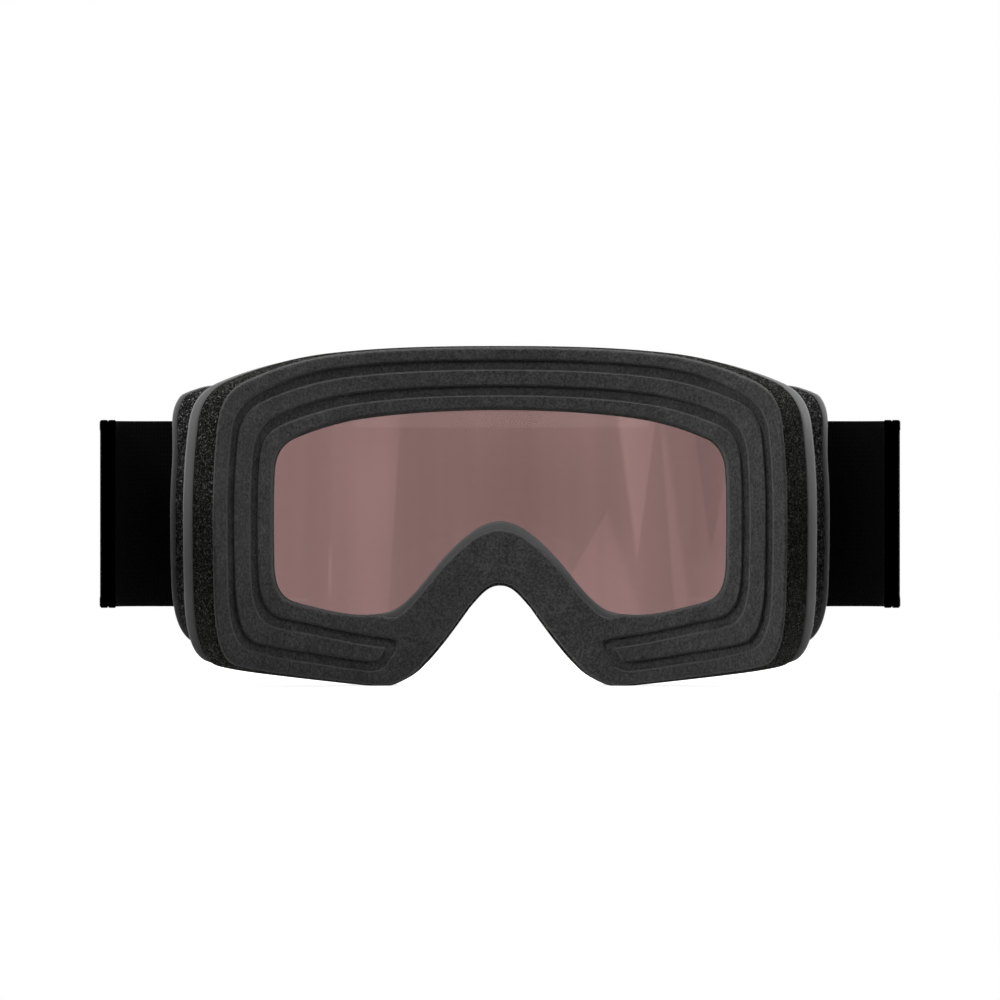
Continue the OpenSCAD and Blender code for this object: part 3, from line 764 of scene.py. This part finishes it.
def vent_strip(name, node, start, end):
    """Foam from one step of the edge to another."""
    form = wall(0.0, VENT_FOAM_T, start, end, gap=SEAT, corner=0.3, squarer=True)
    obj = make(name, *form, VENT_FOAM, soft_angle=50)
    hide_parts(node)


vent_strip("vent_strip_top", "vent_foam_top", CORNER_STEP, EDGE_COUNT - CORNER_STEP)
for at, start, end in (("", CHEEK_STEP, CORNER_STEP), ("cheek_", NOSE_STEP, CHEEK_STEP)):
    vent_strip(f"vent_strip_{at}right", f"vent_foam_{at}right", start, end)
    vent_strip(f"vent_strip_{at}left", f"vent_foam_{at}left", EDGE_COUNT - end, EDGE_COUNT - start)


# ---- frame and lens carrier
# A long run of a section has points about this far apart, and one this close to each end, which
# keeps its shading flat
SECTION_RUN, SECTION_END = 2.5, 0.12


def soft_section(corners):
    """Corners (share, depth in mm, radius in mm) turned into a closed section with soft corners."""
    spots = [(share * BAND, depth) for share, depth, _ in corners]
    count, rounds = len(corners), []
    for k, (_, _, radius) in enumerate(corners):
        here, ends = spots[k], []
        for there in (spots[k - 1], spots[(k + 1) % count]):
            ends.append(mix2(here, there, min(0.45, radius / math.dist(here, there))))
        rounds.append([mix2(mix2(ends[0], here, t), mix2(here, ends[1], t), t)
                       for t in (0, 1 / 3, 2 / 3, 1)])
    out = []
    for k in range(count):
        out += rounds[k]
        a, b = rounds[k][-1], rounds[(k + 1) % count][0]
        length = math.dist(a, b)
        if length > 5 * SECTION_END:
            near, runs = SECTION_END / length, max(1, round(length / SECTION_RUN))
            out += [mix2(a, b, t) for t in [near] + [j / runs for j in range(1, runs)] + [1 - near]]
    return [(a / BAND, d) for a, d in out]


def ring(section, flare, lift, drop, depth_y, squarer=False):
    """Points and faces of a closed ring with a section of (share, depth), on the cylinder that
    depth_y gives."""
    lines = []
    for u, d in section:
        line = []
        for i in range(COUNT):
            x, z = frame_point(i, u, flare, lift, drop, squarer)
            line.append((x, depth_y(x, d), max(z, 0.01)))
        lines.append(line)
    return tube(lines)


# Each lug and its spine are turned a little about the strap's bar
LUG_TILT, LUG_T, LUG_R, LUG_HOLE_R, LUG_ARM = math.radians(6), 2.0, 2.4, 1.58, 8.6
LUG_LEFT, LUG_RIGHT, LUG_SLOPE = -2.6, 2.3, 0.13


def turned(x, y):
    """A point of a lug, given from its bar, in the plan."""
    c, s = math.cos(LUG_TILT), math.sin(LUG_TILT)
    return BAR_X + x * c - y * s, BAR_Y + x * s + y * c


def lug_reach(a):
    """Distance from the bar to the lug's outline in direction a."""
    c, s = math.cos(a), math.sin(a)
    if s >= 0:
        return LUG_R
    hits = [-LUG_ARM / s]
    if c - LUG_SLOPE * s > 1e-6:
        hits.append(LUG_RIGHT / (c - LUG_SLOPE * s))
    if c < -1e-6:
        hits.append(LUG_LEFT / c)
    return max(min(hits), LUG_R)


def lug(side, low):
    """Arm with a round end and a hole for the strap bar."""
    angles = [math.radians(a) for a in range(0, 360, 6)]
    angles += [math.atan2(-LUG_ARM, LUG_RIGHT), math.atan2(-LUG_ARM, LUG_LEFT)]
    angles = sorted(a % math.tau for a in angles)
    # The rim as (inset, height): its edges are rounded
    rim = ((0.35, 0.0), (0.1, 0.1), (0, 0.35), (0, LUG_T - 0.35), (0.1, LUG_T - 0.1), (0.35, LUG_T))
    lines = []
    for inset, z in ((None, 0.0), *rim, (None, LUG_T)):
        line = []
        for a in angles:
            r = LUG_HOLE_R if inset is None else lug_reach(a) - inset
            x, y = turned(r * math.cos(a), r * math.sin(a))
            line.append((side * x, y, low + z))
        lines.append(line)
    return tube(lines)


def spine(side, low, high):
    """Upright bar in the front ring that joins the two lugs of one side."""
    left, right, back, front, soft = -2.4, -0.2, -8.4, -4.6, 0.3
    corners = ((left, back + soft), (left + soft, back), (right - soft, back), (right, back + soft),
               (right, front - soft), (right - soft, front), (left + soft, front),
               (left, front - soft))
    lines = []
    for x, y in (turned(*corner) for corner in corners):
        lines.append([(side * x, y, mix(low, high, t)) for t in (0, 0.25, 0.5, 0.75, 1)])
    return tube(lines, closed_along=False)


def gathered(parts):
    """Several islands of points and faces as one."""
    points, faces = [], []
    for more_points, more_faces in parts:
        faces += [tuple(v + len(points) for v in face) for face in more_faces]
        points += more_points
    return points, faces


# Steps of the edge and share of the way to the window where the magnets sit
MAGNET_STEPS, MAGNET_U = (10, 15, 31, 36), 0.18
POCKET_R, POCKET_L, POCKET_SIDES = MAGNET_R + PIN_CLEARANCE, MAGNET_L + PIN_CLEARANCE, 32


def pockets(obj, depth_in, depth_out):
    """Cuts the magnets' round pockets between two depths under the outer lens."""
    parts = []
    for i in MAGNET_STEPS:
        x, z = frame_point(i * FINE, MAGNET_U, CARRIER_FLARE, RING_LIFT, RING_DROP)
        for side in (1, -1):
            a = side * math.asin(x / LENS_R)
            lines = []
            for k in range(POCKET_SIDES):
                turn = math.tau * k / POCKET_SIDES
                across, up = POCKET_R * math.cos(turn), POCKET_R * math.sin(turn)
                lines.append([
                    ((LENS_R - d) * math.sin(a) + across * math.cos(a),
                     LENS_AXIS + (LENS_R - d) * math.cos(a) - across * math.sin(a), z + up)
                    for d in (depth_in, depth_out)
                ])
            parts.append(tube(lines, closed_along=False))
    cutter = make("pocket_cutter", *gathered(parts), FRAME, body=None)
    cut = obj.modifiers.new("pockets", "BOOLEAN")
    cut.operation, cut.solver, cut.object = "DIFFERENCE", "EXACT", cutter
    done = bpy.data.meshes.new_from_object(obj.evaluated_get(bpy.context.evaluated_depsgraph_get()))
    obj.modifiers.clear()
    obj.data = done
    bpy.data.objects.remove(cutter)


LUG_LOW, LUG_HIGH = STRAP_Z - STRAP_W / 2 - SEAT - LUG_T, STRAP_Z + STRAP_W / 2 + SEAT
SPINE_LOW, SPINE_HIGH = LUG_LOW + 0.6, LUG_HIGH + 1.4
STRUT_STEPS = (1, 5, 9, 13, 16, 19, 22, 24, 27, 31, 34, 37)
FLANGE_LIFT, FLANGE_INSET = 1.1, 0.35
# The flange's lip over the nose, in a darker copy of the frame plastic, which is painted shade: how
# far it goes from the centre line, and between which heights
LIP_HALF, LIP_LOW, LIP_HIGH = 36, 10, 50
flange_section = soft_section([
    (0, FLANGE_D, 0.3), (0, FLANGE_D + FLANGE_T, 0.6), (1, FLANGE_D + FLANGE_T, 0.5),
    (1, FLANGE_D, 0.5),
])
flange_form = ring(flange_section, FLANGE_FLARE - FLANGE_INSET, FLANGE_LIFT, 0.0, face_y)
ring_section = soft_section([
    (0, RING_BACK_D, 0.35), (RING_U, RING_BACK_D, 0.5), (RING_U, RING_FRONT_D, 0.4),
    (0, RING_FRONT_D, 0.8),
])
ring_form = ring(ring_section, RING_FLARE, RING_LIFT, RING_DROP, lens_y, squarer=True)
strut_forms = [
    wall(STRUT_U, STRUT_T, start, start + 1, gap=-0.6, corner=0.5)
    for s in STRUT_STEPS for start in (s, EDGE_COUNT - s - 1)
]
lug_forms = [lug(side, low) for side in (1, -1) for low in (LUG_LOW, LUG_HIGH)]
spine_forms = [spine(side, SPINE_LOW, SPINE_HIGH) for side in (1, -1)]
frame_form = gathered([flange_form] + strut_forms + lug_forms + spine_forms)
body_piece = make("goggle_frame", *frame_form, FRAME, soft_angle=45)
body_piece.data.materials.append(LIP_SHADED)
# The lip's faces get the darker copy of the plastic, painted shade
for face in body_piece.data.polygons:
    if abs(face.center.x) < LIP_HALF * MM and LIP_LOW * MM < face.center.z < LIP_HIGH * MM:
        face.material_index = 1
ring_piece = make("front_ring", *ring_form, RIM, soft_angle=45)
pockets(ring_piece, RING_FRONT_D + POCKET_L, RING_FRONT_D - PAST)
for piece in (body_piece, ring_piece):
    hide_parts("frame")

# The carrier's foot holds the inner lens's side and its lip the outer lens
FOOT_U, CARRIER_U, CARRIER_LIP_U = 0.03, 0.33, 0.42
carrier_section = soft_section([
    (FOOT_U, CARRIER_BACK_D, 0.5), (CARRIER_U, CARRIER_BACK_D, 0.4), (CARRIER_U, -0.05, 0.02),
    (CARRIER_LIP_U, -0.05, 0.1), (CARRIER_LIP_U, -LIP_T, 0.5), (FOOT_U, -LIP_T, 1.2),
])
carrier_form = ring(carrier_section, CARRIER_FLARE, RING_LIFT, RING_DROP, lens_y)
carrier_piece = make("lens_rim", *carrier_form, CARRIER, body="lens_module", soft_angle=45)
pockets(carrier_piece, CARRIER_BACK_D - POCKET_L, CARRIER_BACK_D + PAST)
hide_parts("lens_carrier")


# ---- lenses
OUTER_LENS_U, INNER_LENS_U = 0.345, 0.355
LENS_STRIPS = 120


def lens_plate(name, node, material, share, front_d, back_d):
    """A plate bent with the lens cylinder, cut in narrow upright strips so that it is smooth."""
    edge = [frame_point(i, share, CARRIER_FLARE, RING_LIFT, RING_DROP) for i in range(COUNT)]
    sheet = bmesh.new()
    sheet.faces.new([sheet.verts.new((x, 0, z)) for x, z in edge])
    reach = max(x for x, _ in edge)
    for k in range(1, LENS_STRIPS):
        whole = sheet.verts[:] + sheet.edges[:] + sheet.faces[:]
        cut = ((2 * k / LENS_STRIPS - 1) * reach, 0, 0)
        bmesh.ops.bisect_plane(sheet, geom=whole, dist=1e-5, plane_co=cut, plane_no=(1, 0, 0))
    sheet.verts.index_update()
    flat = [tuple(v.co) for v in sheet.verts]
    plates = [[v.index for v in face.verts] for face in sheet.faces]
    rim = [(e.verts[0].index, e.verts[1].index) for e in sheet.edges if e.is_boundary]
    sheet.free()
    count = len(flat)
    points = [(x, lens_y(x, d), z) for d in (front_d, back_d) for x, _, z in flat]
    faces = [tuple(face) for face in plates]
    faces += [tuple(v + count for v in reversed(face)) for face in plates]
    faces += [(a, b, b + count, a + count) for a, b in rim]
    obj = make(name, points, faces, material, body="lens_module", soft_angle=50)
    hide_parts(node)
    return obj


outer_plate = lens_plate("lens_outer_plate", "outer_lens", OUTER_LENS,
                         OUTER_LENS_U, 0.0, OUTER_LENS_T)
# The painted reflections lie on its inner side alone
outer_plate.data.materials.append(OUTER_LENS_IN)
for face in outer_plate.data.polygons:
    face.material_index = int(face.normal.y < 0)
lens_plate("lens_inner_plate", "inner_lens", INNER_LENS,
           INNER_LENS_U, INNER_LENS_D, INNER_LENS_D + INNER_LENS_T)


def spacer():
    """Foam between the two lenses, a little hollow on the side that shows."""
    section = ((INNER_LENS_U, INNER_LENS_D), (INNER_LENS_U, OUTER_LENS_T), (0.42, OUTER_LENS_T),
               (0.48, OUTER_LENS_T + 0.2), (0.478, 3.3), (0.48, INNER_LENS_D - 0.2),
               (0.42, INNER_LENS_D))
    form = ring(section, CARRIER_FLARE, RING_LIFT, RING_DROP, lens_y)
    obj = make("lens_spacer_foam", *form, SPACER, body="lens_module", soft_angle=50)
    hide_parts("lens_spacer")


spacer()


# ---- strap
def arc(cx, cy, r, a0, a1, steps):
    turns = [mix(a0, a1, k / steps) for k in range(steps + 1)]
    return [(cx + r * math.cos(a), cy + r * math.sin(a)) for a in turns]


def spaced(path, gap):
    """The path with points about gap apart on its straight runs."""
    out = [path[0]]
    for a, b in zip(path, path[1:]):
        count = max(1, round(math.dist(a, b) / gap))
        out += [mix2(a, b, k / count) for k in range(1, count + 1)]
    return out


# Across the webbing to its middle: distance from its edge, and share of the hem's thickness,
# with None where the webbing is thinner
HEM = ((0.0, 0.7), (0.1, 0.9), (0.4, 1.0), (2.2, 1.0), (2.9, None), (14.0, None))
HEM_HALF, WEB_HALF = STRAP_T / 2 + 0.09, STRAP_T / 2 - 0.03


def webbing(name, path, start_run=0.0, body=BODY):
    """Flat webbing along a plan path: rounded edges, with a slightly thicker hem along each."""
    across = HEM + tuple((STRAP_W - v, share) for v, share in reversed(HEM))
    section = [(v, WEB_HALF if share is None else HEM_HALF * share) for v, share in across]
    section += [(v, -t) for v, t in reversed(section)]
    runs, normals = [start_run], []
    for a, b in zip(path, path[1:]):
        runs.append(runs[-1] + math.dist(a, b))
    for i in range(len(path)):
        a, b = path[max(0, i - 1)], path[min(len(path) - 1, i + 1)]
        length = math.dist(a, b) or 1.0
        normals.append(((a[1] - b[1]) / length, (b[0] - a[0]) / length))
    lines = [
        [(x + nx * t, y + ny * t, STRAP_Z - STRAP_W / 2 + v)
         for (x, y), (nx, ny) in zip(path, normals)]
        for v, t in section
    ]
    run_map = [(run, v) for v, _ in section for run in runs]
    form = tube(lines, closed_along=False)
    obj = make(name, *form, WEBBING, body=body, uv=run_map, soft_angle=50)
    return obj


# From the line between the two layers of webbing to the middle of each
LAYER = LAYER_GAP / 2 + STRAP_T / 2
EYE_R = (EYE_IN + EYE_OUT) / 2
QUARTER = math.pi / 2
ARC_STEPS, BACK_STEPS, RETURN_STEPS = ((14, 50, 30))


def back_point(r, a):
    """A point of the strap's back curve, in the plan."""
    return r * math.cos(a), BACK_Y + r * math.sin(a)


side_path = (
    arc(BEND_X, BEND_Y, BEND_R + LAYER, -LEAN, QUARTER, ARC_STEPS)
    + arc(BAR_X, BAR_Y, EYE_R, QUARTER, 3 * QUARTER, ARC_STEPS)
    + arc(BEND_X, BEND_Y, BEND_R - LAYER, QUARTER, -LEAN, ARC_STEPS)
    + arc(0, BACK_Y, BACK_R - LAYER, -LEAN, -QUARTER, BACK_STEPS)
)
lead = back_point(BACK_R + LAYER, -LEAN)
half_path = spaced([lead] + side_path, 4.0)
loop_path = half_path + [(-x, y) for x, y in reversed(half_path[:-1])]
strap = webbing("strap_loop", loop_path)
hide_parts("strap_webbing")

# The doubled layer runs round the back curve from the goggles' side to its slider; BLEND_END is a
# point along that run
BLEND_END = math.radians(-34)
for side, name in ((1, "right"), (-1, "left")):
    outer = arc(0, BACK_Y, BACK_R + LAYER, -LEAN, SLIDER_AT - QUARTER, RETURN_STEPS)
    path = [(side * x, y) for x, y in outer]
    piece = webbing(f"strap_return_{name}", path, start_run=2.0, body=None)
    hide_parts("strap_webbing")
    ends = (lead, back_point(BACK_R + LAYER, BLEND_END))
    start, end = [(side * x * MM, y * MM, STRAP_Z * MM) for x, y in ends]
    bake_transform(piece)

# A stitch as (distance along it, height over the webbing): its four upper points and its root
STITCH = ((-0.85, -0.05), (-0.5, 0.2), (0.5, 0.2), (0.85, -0.05), (0.0, -0.2))
STITCH_HALF, STITCH_PITCH, STITCH_COUNT = 0.22, 2.4, 19
STITCH_ROWS = (math.radians(-31.5), math.radians(-32.6))


def stitches(name, body, side):
    """Rows of thread stitches that close the strap's end round the slider's bar."""
    points, faces = [], []
    r = BACK_R + LAYER + STRAP_T / 2 - 0.02
    for row in STITCH_ROWS:
        for k in range(STITCH_COUNT):
            z = STRAP_Z + (k - (STITCH_COUNT - 1) / 2) * STITCH_PITCH
            base = len(points)
            for dz, lift in STITCH:
                for off in (-STITCH_HALF, STITCH_HALF):
                    x, y = back_point(r + lift, row + off / r)
                    points.append((side * x, y, z + dz))
            shape = [(0, 1, 3, 2), (2, 3, 5, 4), (4, 5, 7, 6), (0, 2, 4, 6, 8), (1, 9, 7, 5, 3),
                     (0, 8, 9, 1), (6, 7, 9, 8)]
            faces += [tuple(base + v for v in face) for face in shape]
    obj = make(name, points, faces, THREAD, body=body)


stitches("stitches_right", "right_slider", 1)
stitches("stitches_left", "left_slider", -1)


# ---- finishes of the CAD pieces
FINISH = {
    "lens_gasket": GASKET, "frame_magnets": MAGNET, "lens_magnets": MAGNET,
    "strap_bar_left": STEEL, "strap_bar_right": STEEL, "strap_grip": GRIP,
    "slider_left": SLIDER, "slider_right": SLIDER,
}
for node, material in FINISH.items():
    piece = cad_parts[node]
    piece.data.materials.clear()
    piece.data.materials.append(material)
    if node.startswith("slider"):
        # Softened edges, in metres
        weld = piece.modifiers.new("weld", "WELD")
        weld.merge_threshold = 0.00001
        bevel = piece.modifiers.new("bevel", "BEVEL")
        bevel.width, bevel.segments = 0.0004, 2
        bevel.limit_method, bevel.angle_limit = "ANGLE", math.radians(40)
        bevel.use_clamp_overlap = bevel.harden_normals = True


# ---- floor, light, camera (metres)
FLOOR_R, FLOOR_SIDES = 0.9, 96


def background_rays(add):
    """1 for rays that show the white ground: from the camera, off gloss and through glass."""
    rays = add("ShaderNodeLightPath").outputs
    seen = rays["Is Camera Ray"]
    for kind in ("Is Glossy Ray", "Is Transmission Ray"):
        seen = reckon(add, "MAXIMUM", seen, rays[kind])
    return seen


def floor_material():
    """Pale floor, white to the camera, that fades out round its rim and so shows no horizon."""
    mat, add, bsdf = shader("floor", (0.86, 0.86, 0.86), 0.9)
    put((1, 1, 1, 1), bsdf.inputs["Emission Color"])
    put(product(add, background_rays(add), 0.88), bsdf.inputs["Emission Strength"])
    away = add("ShaderNodeVectorMath", {"operation": "LENGTH"},
               Vector=coordinates(add))
    put(ranged(add, away.outputs["Value"], 0.45, 0.85, 1.0, 0.0), bsdf.inputs["Alpha"])
    return mat


def studio():
    """Soft light all round, a little brighter overhead, behind a ground that shows white."""
    world = bpy.data.worlds.new("studio")
    world.use_nodes = True
    nodes, add = world.node_tree.nodes, adder(world.node_tree)
    upward = split(add, coordinates(add, "Generated"))["Z"]
    sky = ranged(add, upward, -0.4, 0.9, 0.9, 0.98)
    room = add("ShaderNodeBackground", {"Strength": 0.46}, Color=sky)
    white = nodes["Background"]
    put((1, 1, 1, 1), white.inputs["Color"])
    put(1.0, white.inputs["Strength"])
    put(layered(add, background_rays(add), room, white), nodes["World Output"].inputs["Surface"])
    bpy.context.scene.world = world


def area(name, place, aim, size, power):
    """A soft rectangular light at place, turned to aim."""
    data = bpy.data.lights.new(name, "AREA")
    data.shape = "RECTANGLE"
    data.size, data.size_y = size
    data.energy = power
    light = placed(name, data)
    light.location = place
    light.rotation_euler = (Vector(aim) - Vector(place)).to_track_quat("-Z", "Y").to_euler()


floor_mesh = bpy.data.meshes.new("floor")
turns = [math.tau * k / FLOOR_SIDES for k in range(FLOOR_SIDES)]
floor_mesh.from_pydata([(FLOOR_R * math.cos(a), FLOOR_R * math.sin(a), 0) for a in turns], [],
                       [tuple(range(FLOOR_SIDES))])
floor_mesh.materials.append(floor_material())
floor = placed("floor", floor_mesh)
floor.location.z = -0.0001

studio()
area("key", (-0.85, -1.25, 1.05), (0, 0.03, 0.04), (1.0, 0.5), 17.5)
area("fill", (0.8, -1.25, 1.0), (0, 0.03, 0.04), (0.8, 0.5), 7.4)
area("front", (0.5, 1.5, 1.2), (0, 0.05, 0.05), (1.2, 0.4), 10.0)
area("top", (0.0, 0.1, 1.6), (0, 0, 0.05), (1.4, 0.8), 0.6)

# The camera stands level behind the goggles. Its near limit, a little behind the pad's ends, hides
# only the back of the strap loop, which the photograph cuts off too.
DISTANCE, FIELD, EYE_HEIGHT, NEAR_MARGIN, SENSOR = 2.5, 0.27, 0.0502, 0.0035, 36.0
pad_back = (FACE_AXIS + FACE_R) * MM
pad_tip = (FACE_AXIS + math.sqrt(FACE_R ** 2 - HALF_FACE ** 2)) * MM
camera_data = bpy.data.cameras.new("camera")
camera_data.sensor_width = SENSOR
camera_data.lens = SENSOR * DISTANCE / FIELD
camera_data.clip_start = DISTANCE - (pad_back - pad_tip) - NEAR_MARGIN
camera_data.clip_end = 20.0
camera = placed("camera", camera_data)
camera.location = (0.0, pad_back - DISTANCE, EYE_HEIGHT)
camera.rotation_euler = (math.radians(90), 0, 0)
bpy.context.scene.camera = camera
bpy.context.scene.view_settings.view_transform = "Standard"
